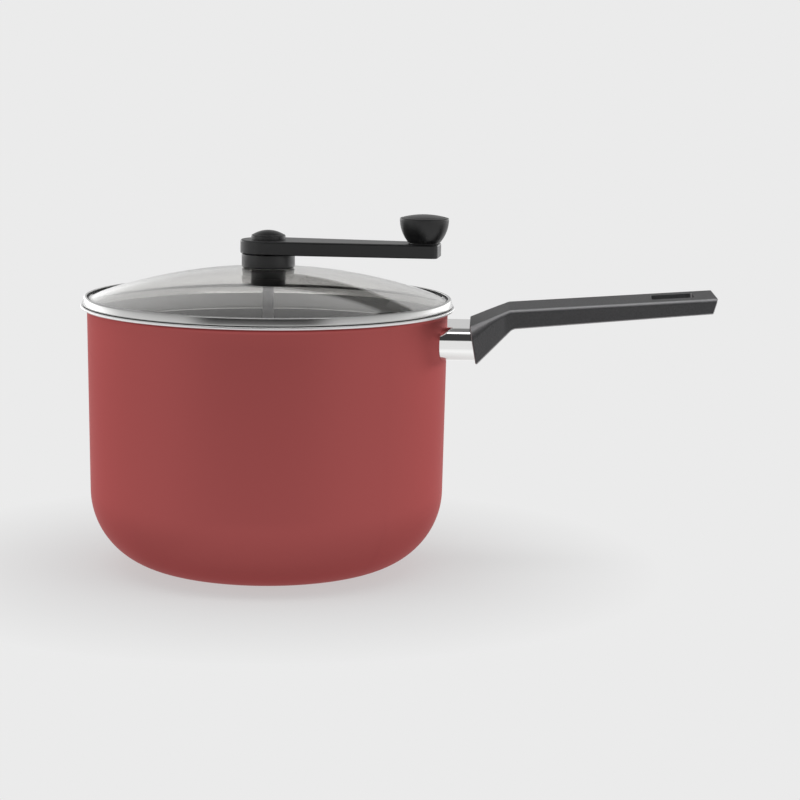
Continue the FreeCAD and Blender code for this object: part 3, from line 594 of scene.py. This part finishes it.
def arc(r, z, radius, start, end, steps):
    """Points of an arc about (r, z), in degrees from outwards towards up."""
    turns = [math.radians(start + (end - start) * k / steps) for k in range(steps + 1)]
    return [(r + radius * math.cos(turn), z + radius * math.sin(turn)) for turn in turns]


def run(a, b, steps):
    """Evenly spaced points between two ends, both ends left out."""
    shares = [k / steps for k in range(1, steps)]
    return [(a[0] + (b[0] - a[0]) * share, a[1] + (b[1] - a[1]) * share) for share in shares]


# ---- pot ----

def pot_profile():
    """Outer side, lip and inner side of the pot, with the strips that carry lacquer and coating."""
    low_radius = pot_radius - pot_wall_taper
    cove_z = pot_height - pot_wall - pot_lip_cove
    cove_r = pot_radius + pot_lip_cove
    edge_r = pot_radius + pot_lip_reach - pot_wall / 2
    corner_r = low_radius - pot_corner_radius
    groove_end = base_groove_radius + base_groove_width
    inner_radius = pot_corner_radius - pot_floor
    inner_low = low_radius - pot_wall
    points = [(0, 0), *run((0, 0), (base_groove_radius, 0), 6), (base_groove_radius, 0),
              (base_groove_radius, base_groove_depth), (groove_end, base_groove_depth),
              (groove_end, 0), (corner_r - lacquer_from_corner, 0)]
    paint_from = len(points) - 1
    points += arc(corner_r, pot_corner_radius, pot_corner_radius, -90, 0, 28)
    points += run(points[-1], (pot_radius, cove_z), 12)
    points += arc(cove_r, cove_z, pot_lip_cove, 180, 90, 8)
    paint_to = len(points) - 1
    points += arc(edge_r, pot_height - pot_wall / 2, pot_wall / 2, -90, 90, 10)
    points += arc(cove_r, cove_z, pot_lip_cove + pot_wall, 90, 180, 10)
    mouth_r = points[-1][0]
    slope = (mouth_r - inner_low) / (cove_z - pot_corner_radius)
    line_r = mouth_r - slope * (cove_z - coat_top)
    step_top = coat_top + turned_step_height
    points += [(line_r + slope * turned_step_height, step_top), (line_r + turned_step, step_top),
               (line_r, coat_top)]
    coat_from = len(points) - 1
    points += run(points[-1], (inner_low, pot_corner_radius), 12)
    points += arc(inner_low - inner_radius, pot_corner_radius, inner_radius, 0, -90, 26)
    points += [*run(points[-1], (0, pot_floor), 6), (0, pot_floor)]
    return points, paint_from, paint_to, coat_from


profile, paint_from, paint_to, coat_from = pot_profile()
pot_shell = turned("pot_shell", profile, aluminium, wide_turns,
                   Paint_From=paint_from, Paint_To=paint_to, Paint_Material=lacquer,
                   Coat_From=coat_from, Coat_To=len(profile), Coat_Material=coating)
fit_piece(pot_shell, "pot_body")


# ---- lid ----

def dome_points(offset, steps=40):
    """Sphere, foot fillet and rim of one glass surface, from the hole outwards."""
    fillet_z = glass_flat_top + dome_foot_fillet
    reach = dome_radius + dome_foot_fillet
    fillet_r = math.sqrt(reach ** 2 - (fillet_z - dome_centre_z) ** 2)
    slope = math.degrees(math.atan2(fillet_z - dome_centre_z, fillet_r))
    hole = math.degrees(math.acos(glass_hole_radius / (dome_radius - offset)))
    points = arc(0, dome_centre_z, dome_radius - offset, hole, slope, steps)
    points += arc(fillet_r, fillet_z, dome_foot_fillet + offset, slope + 180, 270, 6)[1:]
    points.append((glass_edge_radius, glass_flat_top - offset))
    return points


def glass_profile():
    """Both surfaces of the dome glass, the lower one first, closed at hole and edge."""
    top = dome_points(0)
    bottom = dome_points(glass_sheet)
    return [*bottom, *reversed(top), bottom[0]]


def ring_profile():
    """Rolled ring: hemmed skirt, leaning outer wall, rolled shoulder and folded inner lip."""
    lip_r = ring_radius - ring_top_width + ring_sheet / 2
    wall_r = ring_radius - ring_sheet
    bend_r = ring_radius - ring_corner_radius
    floor_z = ring_bottom + ring_sheet
    roof_z = ring_top - ring_sheet
    skirt_inner = skirt_radius - ring_sheet
    skirt_z = ring_bottom - skirt_depth
    foot_r = skirt_radius - skirt_taper
    hem_r = foot_r - ring_sheet - skirt_hem
    points = [(hem_r, skirt_z), (foot_r, skirt_z),
              *run((foot_r, skirt_z), (skirt_radius, ring_bottom), 4), (skirt_radius, ring_bottom)]
    points += arc(bend_r, ring_bottom + ring_corner_radius, ring_corner_radius,
                  -90, ring_shoulder_start, 6)
    points += arc(ring_radius - ring_wall_lean - ring_shoulder_radius,
                  ring_top - ring_shoulder_radius, ring_shoulder_radius,
                  ring_shoulder_start, 90, 8)
    points += arc(lip_r, ring_top - ring_sheet / 2, ring_sheet / 2, 90, 270, 6)
    points += [(wall_r - ring_wall_lean - ring_roof_inset, roof_z), (wall_r, floor_z),
               (skirt_inner, floor_z), (hem_r + skirt_hem, skirt_z + skirt_hem), (hem_r, skirt_z)]
    return points


def seal_profile():
    """Seal between the ring and the glass's edge, which it holds from three sides."""
    wall_r = ring_radius - ring_sheet
    floor_z = ring_bottom + ring_sheet
    roof_z = ring_top - ring_sheet
    inner = ring_radius - ring_top_width - seal_reach
    return [(inner, floor_z), (wall_r, floor_z),
            (wall_r - ring_wall_lean - ring_roof_inset, roof_z), (inner, roof_z),
            (inner, glass_flat_top), (glass_edge_radius, glass_flat_top),
            (glass_edge_radius, glass_flat_bottom), (inner, glass_flat_bottom), (inner, floor_z)]


def collar_profile():
    """Bearing collar on the glass, its threaded neck through the hole, and the bush's seat."""
    recess_z = dome_top + gasket_sheet
    bore = bush_radius + fit_clear
    flange_z = collar_top - bush_flange_sheet
    foot_z = nut_bottom + nut_floor + fit_clear
    half = collar_edge / 2
    points = [(bore, foot_z), (neck_radius, foot_z), (neck_radius, recess_z),
              (collar_skirt_inner, recess_z), (collar_skirt_inner, dome_top),
              (collar_radius - collar_edge, dome_top)]
    points += arc(collar_radius - collar_edge, dome_top + collar_edge, collar_edge, -90, 0, 6)[1:]
    points += arc(collar_radius - half, collar_top - half, half, 0, 90, 4)
    points += [(bush_flange_radius + fit_clear, collar_top),
               (bush_flange_radius + fit_clear, flange_z), (bore, flange_z), (bore, foot_z)]
    return points


def nut_profile():
    """Cap nut under the glass, with rounded edges and the shaft's hole in its floor."""
    inner = neck_radius + thread_clear
    hole = shaft_radius + nut_hole_clear
    top = nut_top - fit_clear
    points = [(hole, nut_bottom)]
    points += arc(nut_radius - nut_edge, nut_bottom + nut_edge, nut_edge, -90, 0, 8)
    points += arc(nut_radius - nut_top_edge, top - nut_top_edge, nut_top_edge, 0, 90, 4)
    points += [(inner, top), (inner, nut_bottom + nut_floor), (hole, nut_bottom + nut_floor),
               (hole, nut_bottom)]
    return points


lid_pieces = [
    ("lid_glass", "lid_dome_glass", glass_profile(), wide_turns),
    ("lid_ring", "lid_steel_ring", ring_profile(), wide_turns),
    ("lid_seal", "lid_edge_seal", seal_profile(), wide_turns),
    ("hub_collar", "bearing_collar", collar_profile(), small_turns),
    ("hub_nut", "hub_cap_nut", nut_profile(), small_turns),
]
for node, name, profile, turns in lid_pieces:
    fit_piece(turned(name, profile, finishes[slot_of[node]], turns), node)


# ---- crank and knob ----

def cap_profile():
    """Domed cap with a rounded rim, and the hollow spigot that presses into the arm."""
    rim_z = arm_top + cap_rim
    crest = rim_z + cap_rise
    shoulder = cap_radius - cap_edge
    rise = cap_rise - cap_edge
    dome = (shoulder ** 2 + rise ** 2) / (2 * rise)
    start = math.degrees(math.atan2(rim_z + cap_edge - crest + dome, shoulder))
    spigot = cap_pocket_radius - thread_clear
    hollow = spigot - cap_spigot_wall
    foot_z = arm_top - cap_spigot
    roof_z = crest - cap_edge - cap_roof
    points = [(0, roof_z), (hollow, roof_z), (hollow, foot_z), (spigot, foot_z), (spigot, arm_top)]
    points += [(cap_radius, arm_top), (cap_radius, rim_z)]
    points += arc(shoulder, rim_z, cap_edge, 0, 90, 6)[1:]
    points += arc(0, crest - dome, dome, start, 90, 14)[1:]
    return points


def knob_dome():
    """Radius and centre height of the sphere that knob and disc share on top."""
    foot = knob_radius - knob_edge
    radius = (foot ** 2 + knob_dome_rise ** 2) / (2 * knob_dome_rise)
    return radius, knob_crest - radius


def knob_profile():
    """Bowl-shaped knob: curved flank, rounded rim, seat of the disc, well and bore of the pin."""
    radius, centre_z = knob_dome()
    inset = knob_radius - knob_base_radius
    drop = knob_height - knob_edge
    flank = (inset ** 2 + drop ** 2) / (2 * inset)
    flank_r = knob_radius - flank
    flank_z = knob_rim - knob_edge
    low = -math.degrees(math.atan2(drop, knob_base_radius - flank_r))
    foot = knob_radius - knob_edge
    seat_r = knob_cap_radius + knob_cap_clear
    seat_z = knob_rim - knob_cap_sheet
    start = math.degrees(math.atan2(knob_rim - centre_z, foot))
    seat = math.degrees(math.acos(seat_r / radius))
    shelf = knob_bottom + knob_pin_shelf
    bore = knob_pin_radius + shaft_clear
    points = [(bore, knob_bottom)]
    points += arc(flank_r, flank_z, flank, low, 0, 24)
    points += arc(foot, flank_z, knob_edge, 0, 90, 6)[1:]
    points += arc(0, centre_z, radius, start, seat, 4)[1:]
    points += [(seat_r, seat_z), (knob_pin_head_well, seat_z), (knob_pin_head_well, shelf),
               (bore, shelf), (bore, knob_bottom)]
    return points


def knob_cap_profile():
    """Disc that closes the knob's top and carries on its dome."""
    radius, centre_z = knob_dome()
    edge = math.degrees(math.acos(knob_cap_radius / radius))
    seat_z = knob_rim - knob_cap_sheet
    return [(0, seat_z), (knob_cap_radius, seat_z), *arc(0, centre_z, radius, edge, 90, 16)]


crank_pieces = [
    ("crank_cap", "crank_cap_dome", cap_profile(), (0, 0)),
    ("knob", "knob_bowl", knob_profile(), knob_axis),
    ("knob_cap", "knob_top_disc", knob_cap_profile(), knob_axis),
]
for node, name, profile, axis in crank_pieces:
    fit_piece(turned(name, profile, black_nylon, small_turns, axis), node)


# ---- stirrer wire and rivets ----

def on_arm(x, y, z):
    """Place on the crank of a point given with the crank along +X."""
    cos, sin = math.cos(crank_turn), math.sin(crank_turn)
    return (x * cos - y * sin, x * sin + y * cos, z)


wire_top = wire_height + wire_bend + wire_upturn
wire_path = [on_arm(0, -wire_reach, wire_top), on_arm(0, -wire_reach, wire_height),
             on_arm(0, wire_reach, wire_height), on_arm(0, wire_reach, wire_top)]
wire = shape_with(bent_wire, "corn_breaker_wire", wire_path, [(0, 1), (1, 2), (2, 3)],
                  Radius=wire_radius * MM, Bend=wire_bend * MM, Sharp_Angle=CREASE,
                  Material=finishes["shaft_steel"])
fit_piece(wire, "stirrer_wire")

rivet_end = rivet_half_length + rivet_head_height
dome_ball = (rivet_head_radius ** 2 + rivet_head_height ** 2) / (2 * rivet_head_height)
dome_edge = math.degrees(math.acos(rivet_head_radius / dome_ball))
rivet_profile = [*arc(0, dome_ball - rivet_end, dome_ball, -90, -dome_edge, 6),
                 (rivet_shank_radius, -rivet_half_length), (rivet_shank_radius, rivet_half_length),
                 *arc(0, rivet_end - dome_ball, dome_ball, dome_edge, 90, 6)]
one_rivet = turned("one_rivet", rivet_profile, finishes["fastener_steel"], rivet_turns)
rivets = shape_with(placed_copies, "stirrer_rivets",
                    [on_arm(side * rivet_spacing / 2, 0, rivet_height) for side in (-1, 1)], [],
                    Part=one_rivet, Turn=(math.pi / 2, 0, crank_turn),
                    Material=finishes["fastener_steel"])
bpy.data.objects.remove(one_rivet)
fit_piece(rivets, "blade_rivets")


# ---- pieces whose mesh follows the solid ----

def shaded_piece(mesh, node, name):
    """Piece from a mesh whose doubled points are merged, with even shading on its rounded edges."""
    mesh.name = name
    work = bmesh.new()
    work.from_mesh(mesh)
    bmesh.ops.remove_doubles(work, verts=work.verts, dist=same_point * MM)
    for face in work.faces:
        face.smooth = True
    for edge in work.edges:
        edge.smooth = len(edge.link_faces) == 2 and edge.calc_face_angle(0) < CREASE
    work.to_mesh(mesh)
    work.free()
    mesh.materials.clear()
    mesh.materials.append(finishes[slot_of[node]])
    piece = link(bpy.data.objects.new(name, mesh))
    weighted = piece.modifiers.new("even_shading", "WEIGHTED_NORMAL")
    weighted.keep_sharp = True
    return piece


copied_pieces = {
    "handle_grip": "handle_moulded_grip",
    "handle_bracket": "handle_weld_bracket",
    "handle_screw": "handle_fixing_screw",
    "handle_screw_washer": "handle_spring_washer",
    "shaft_bush": "shaft_bearing_bush",
    "crank_arm": "crank_moulded_arm",
    "knob_washer": "knob_slip_washer",
    "stir_shaft": "stirring_shaft",
    "stirrer_hub": "stirrer_boss",
    "stirrer_pin": "stirrer_cross_pin",
    "stirrer_blade_a": "stirrer_sweep_blade_a",
    "stirrer_blade_b": "stirrer_sweep_blade_b",
}
for node, name in copied_pieces.items():
    fit_piece(shaded_piece(frame["nodes"][node].data.copy(), node, name), node)


def oblong(inset, steps=14):
    """Points (across, up) round the ferrule's section, drawn in by an inset."""
    corner = ferrule_corner - inset
    side = ferrule_width / 2 - ferrule_corner
    rise = ferrule_height / 2 - ferrule_corner
    points = []
    corners = ((side, rise, 0), (-side, rise, 90), (-side, -rise, 180), (side, -rise, 270))
    for across, up, start in corners:
        points += arc(across, handle_z + up, corner, start, start + 90, steps)
    return points


def sleeve_mesh(steps=12):
    """Ferrule from the pot's wall to the grip's raked face: outer side, front edge, inner side."""
    low_radius = pot_radius - pot_wall_taper
    cove_z = pot_height - pot_wall - pot_lip_cove
    share = (handle_z - pot_corner_radius) / (cove_z - pot_corner_radius)
    wall = low_radius + pot_wall_taper * share
    rake = math.tan(math.radians(grip_face_rake))
    rows = []
    for inset, order in ((0, range(steps + 1)), (ferrule_sheet, range(steps, -1, -1))):
        for step in order:
            row = []
            for across, up in oblong(inset):
                start = math.sqrt(wall ** 2 - across ** 2)
                end = grip_face_x - (up - handle_z) * rake
                row.append(Vector((start + (end - start) * step / steps, across, up)) * MM)
            rows.append(row)
    count = len(rows[0])
    faces = []
    for row in range(len(rows)):
        here, there = row * count, (row + 1) % len(rows) * count
        for k in range(count):
            beside = (k + 1) % count
            faces.append((here + k, here + beside, there + beside, there + k))
    mesh = bpy.data.meshes.new("sleeve")
    mesh.from_pydata([point for row in rows for point in row], [], faces)
    return mesh


fit_piece(shaded_piece(sleeve_mesh(), "handle_ferrule", "handle_ferrule_sleeve"), "handle_ferrule")

for node, shown in frame["nodes"].items():
    if not shown.hide_render:
        shown.data.materials.clear()
        shown.data.materials.append(finishes[slot_of[node]])


# ---- floor, light and camera ----

# Grey levels of the studio's arch over the angle from the front horizon up over the object and down
# behind it: a pale strip at the camera's height, dark air, a long soft box and a dim back wall
overhead_arch = [(-180, 0.7), (-2, 0.85), (8, 0.85), (14, 0.05), (72, 0.05), (75, 2.4), (87, 2.4),
                 (92, 0.2), (133, 0.2), (150, 0.55), (162, 0.6), (180, 0.6)]
# Grey levels of the side walls, from straight down at -1 to straight up at 1
side_walls = [(-1.0, 0.8), (0.0, 1.0), (0.1, 0.95), (0.35, 0.45), (1.0, 0.45)]
side_wall_from = 0.47
side_wall_slant = 0.2
side_wall_blend = 0.15
left_strength = 1.45
right_strength = 1.4
left_to_right_blend = 0.3
back_corner_strength = 2.4
back_corner_depth = (0.1, 0.7)
back_corner_height = (0.05, 0.25)

backdrop = "#ebebeb"
floor_matt = "#e8e8e8"
floor_light_pool = "#ffffff"
floor_half = 6000.0
floor_drop = 0.2
# Distances from the pot's axis over which its shadow fades out, and over which the painted pool
# of white light that the object's gloss shows on the floor turns to the backdrop's grey
shadow_fade = (90.0, 250.0)
shadow_glow = 0.6
light_pool_fade = (300.0, 800.0)


def pale_floor():
    """Wide matt floor that fades into the plain backdrop away from the pot's shadow. The object's
    gloss shows a painted pool of white light on it close by, and the backdrop's grey further off."""
    made = bpy.data.materials.new("pale_floor")
    made.use_nodes = True
    tree = made.node_tree
    tree.nodes.clear()
    place = add(tree, "ShaderNodeTexCoord").outputs["Object"]
    far = add(tree, "ShaderNodeVectorMath", {0: place}, operation="LENGTH").outputs["Value"]
    fade = add(tree, "ShaderNodeMapRange",
               {"Value": far, "From Min": shadow_fade[0] * MM, "From Max": shadow_fade[1] * MM,
                "To Min": shadow_glow, "To Max": 1.0})
    seen = add(tree, "ShaderNodeLightPath").outputs
    direct = add(tree, "ShaderNodeMath", {0: seen["Is Camera Ray"], 1: seen["Is Glossy Ray"]},
                 operation="MAXIMUM")
    shown = add(tree, "ShaderNodeMath", {0: direct.outputs[0], 1: seen["Is Transmission Ray"]},
                operation="MAXIMUM")
    share = add(tree, "ShaderNodeMath", {0: fade.outputs[0], 1: shown.outputs[0]},
                operation="MULTIPLY")
    matt = add(tree, "ShaderNodeBsdfDiffuse", {"Color": srgb(floor_matt)})
    away = add(tree, "ShaderNodeMapRange",
               {"Value": far, "From Min": light_pool_fade[0] * MM, "From Max": light_pool_fade[1] * MM})
    plain = add(tree, "ShaderNodeMath", {0: away.outputs[0], 1: seen["Is Camera Ray"]},
                operation="MAXIMUM")
    # Painted pool of light: white near the pot for glossy rays, the backdrop's grey further off and
    # for the camera
    tone = add(tree, "ShaderNodeMixRGB",
               {0: plain.outputs[0], 1: srgb(floor_light_pool), 2: srgb(backdrop)})
    glow = add(tree, "ShaderNodeEmission", {"Color": tone.outputs[0], "Strength": 1.0})
    mixed = add(tree, "ShaderNodeMixShader",
                {0: share.outputs[0], 1: matt.outputs[0], 2: glow.outputs[0]})
    add(tree, "ShaderNodeOutputMaterial", {"Surface": mixed.outputs[0]})
    return made


def set_levels(ramp, levels):
    """Gives a ramp its grey levels, each at a place from 0 to 1."""
    stops = ramp.color_ramp.elements
    while len(stops) > 1:
        stops.remove(stops[0])
    stops[0].position, stops[0].color = levels[0][0], (*[levels[0][1]] * 3, 1)
    for place, level in levels[1:]:
        stops.new(place).color = (level, level, level, 1)


def studio_world():
    """Studio round the object: the arch in the middle, pale walls on both sides and brighter low
    corners behind. The camera sees the plain backdrop, also straight through the glass, and the
    metal under the glass meets light that is never dimmer than it."""
    world = bpy.data.worlds.new("studio")
    world.use_nodes = True
    tree = world.node_tree
    tree.nodes.clear()
    way = add(tree, "ShaderNodeTexCoord").outputs["Generated"]
    right_way, back_way, up_way = add(tree, "ShaderNodeSeparateXYZ", {0: way}).outputs

    front_way = add(tree, "ShaderNodeMath", {0: back_way, 1: -1.0}, operation="MULTIPLY")
    over = add(tree, "ShaderNodeMath", {0: up_way, 1: front_way.outputs[0]}, operation="ARCTAN2")
    along = add(tree, "ShaderNodeMapRange",
                {"Value": over.outputs[0], "From Min": -math.pi, "From Max": math.pi})
    arch = add(tree, "ShaderNodeValToRGB", {0: along.outputs[0]})
    set_levels(arch, [(degrees / 360 + 0.5, level) for degrees, level in overhead_arch])

    height = add(tree, "ShaderNodeMapRange", {"Value": up_way, "From Min": -1.0, "From Max": 1.0})
    walls = add(tree, "ShaderNodeValToRGB", {0: height.outputs[0]})
    set_levels(walls, [(place / 2 + 0.5, level) for place, level in side_walls])
    hand = add(tree, "ShaderNodeMapRange",
               {"Value": right_way, "From Min": -left_to_right_blend,
                "From Max": left_to_right_blend, "To Min": left_strength,
                "To Max": right_strength})
    depth = add(tree, "ShaderNodeMapRange",
                {"Value": back_way, "From Min": back_corner_depth[0],
                 "From Max": back_corner_depth[1], "To Min": 1.0, "To Max": back_corner_strength})
    low = add(tree, "ShaderNodeMapRange",
              {"Value": up_way, "From Min": back_corner_height[0],
               "From Max": back_corner_height[1], "To Min": 1.0, "To Max": 0.0})
    corner = add(tree, "ShaderNodeMixRGB",
                 {0: low.outputs[0], 1: (1, 1, 1, 1), 2: depth.outputs[0]})
    strength = add(tree, "ShaderNodeMath", {0: hand.outputs[0], 1: corner.outputs[0]},
                   operation="MULTIPLY")
    sides = add(tree, "ShaderNodeMixRGB", {0: 1.0, 1: walls.outputs[0], 2: strength.outputs[0]},
                blend_type="MULTIPLY")

    aside = add(tree, "ShaderNodeMath", {0: right_way}, operation="ABSOLUTE")
    slanted = add(tree, "ShaderNodeMath", {0: back_way, 1: side_wall_slant, 2: aside.outputs[0]},
                  operation="MULTIPLY_ADD")
    middle = add(tree, "ShaderNodeMapRange",
                 {"Value": slanted.outputs[0], "From Min": side_wall_from + side_wall_blend,
                  "From Max": side_wall_from - side_wall_blend}, interpolation_type="SMOOTHSTEP")
    light = add(tree, "ShaderNodeMixRGB",
                {0: middle.outputs[0], 1: sides.outputs[0], 2: arch.outputs[0]})

    seen = add(tree, "ShaderNodeLightPath").outputs
    direct = add(tree, "ShaderNodeMath", {0: seen["Glossy Depth"], 1: 0.5}, operation="LESS_THAN")
    lifted = add(tree, "ShaderNodeMixRGB", {0: 1.0, 1: light.outputs[0], 2: srgb(backdrop)},
                 blend_type="LIGHTEN")
    clear = add(tree, "ShaderNodeMixRGB",
                {0: direct.outputs[0], 1: lifted.outputs[0], 2: srgb(backdrop)})
    shown = add(tree, "ShaderNodeMath",
                {0: seen["Is Camera Ray"], 1: seen["Is Transmission Ray"]}, operation="MAXIMUM")
    mixed = add(tree, "ShaderNodeMixRGB",
                {0: shown.outputs[0], 1: light.outputs[0], 2: clear.outputs[0]})
    glow = add(tree, "ShaderNodeBackground", {"Color": mixed.outputs[0], "Strength": 1.0})
    add(tree, "ShaderNodeOutputWorld", {"Surface": glow.outputs[0]})
    return world


floor_mesh = bpy.data.meshes.new("floor")
floor_corners = [(-1, -1, 0), (1, -1, 0), (1, 1, 0), (-1, 1, 0)]
floor_mesh.from_pydata([Vector(corner) * floor_half * MM for corner in floor_corners],
                       [], [(0, 1, 2, 3)])
floor_mesh.materials.append(pale_floor())
floor = link(bpy.data.objects.new("floor", floor_mesh))
floor.location.z = -floor_drop * MM

scene = bpy.context.scene
scene.world = studio_world()
scene.view_settings.view_transform = "Standard"

camera_swing = Matrix.Rotation(math.radians(2.0), 3, "Z")
camera_place = camera_swing @ Vector((0.0829, -1.5, 0.341))
camera_pitch = math.radians(8.96)
camera_roll = math.radians(0.81)
camera_lens = 109.17
camera_sensor = 36.0
forward = camera_swing @ Vector((0, math.cos(camera_pitch), -math.sin(camera_pitch)))
level_right = camera_swing @ Vector((1, 0, 0))
level_up = level_right.cross(forward)
right = level_right * math.cos(camera_roll) + level_up * math.sin(camera_roll)
up = level_up * math.cos(camera_roll) - level_right * math.sin(camera_roll)
camera_data = bpy.data.cameras.new("camera")
camera_data.lens = camera_lens
camera_data.sensor_width = camera_sensor
camera_data.clip_start = 0.05
camera = link(bpy.data.objects.new("camera", camera_data))
camera.matrix_world = Matrix((
    (right.x, up.x, -forward.x, camera_place.x),
    (right.y, up.y, -forward.y, camera_place.y),
    (right.z, up.z, -forward.z, camera_place.z),
    (0, 0, 0, 1)))
scene.camera = camera
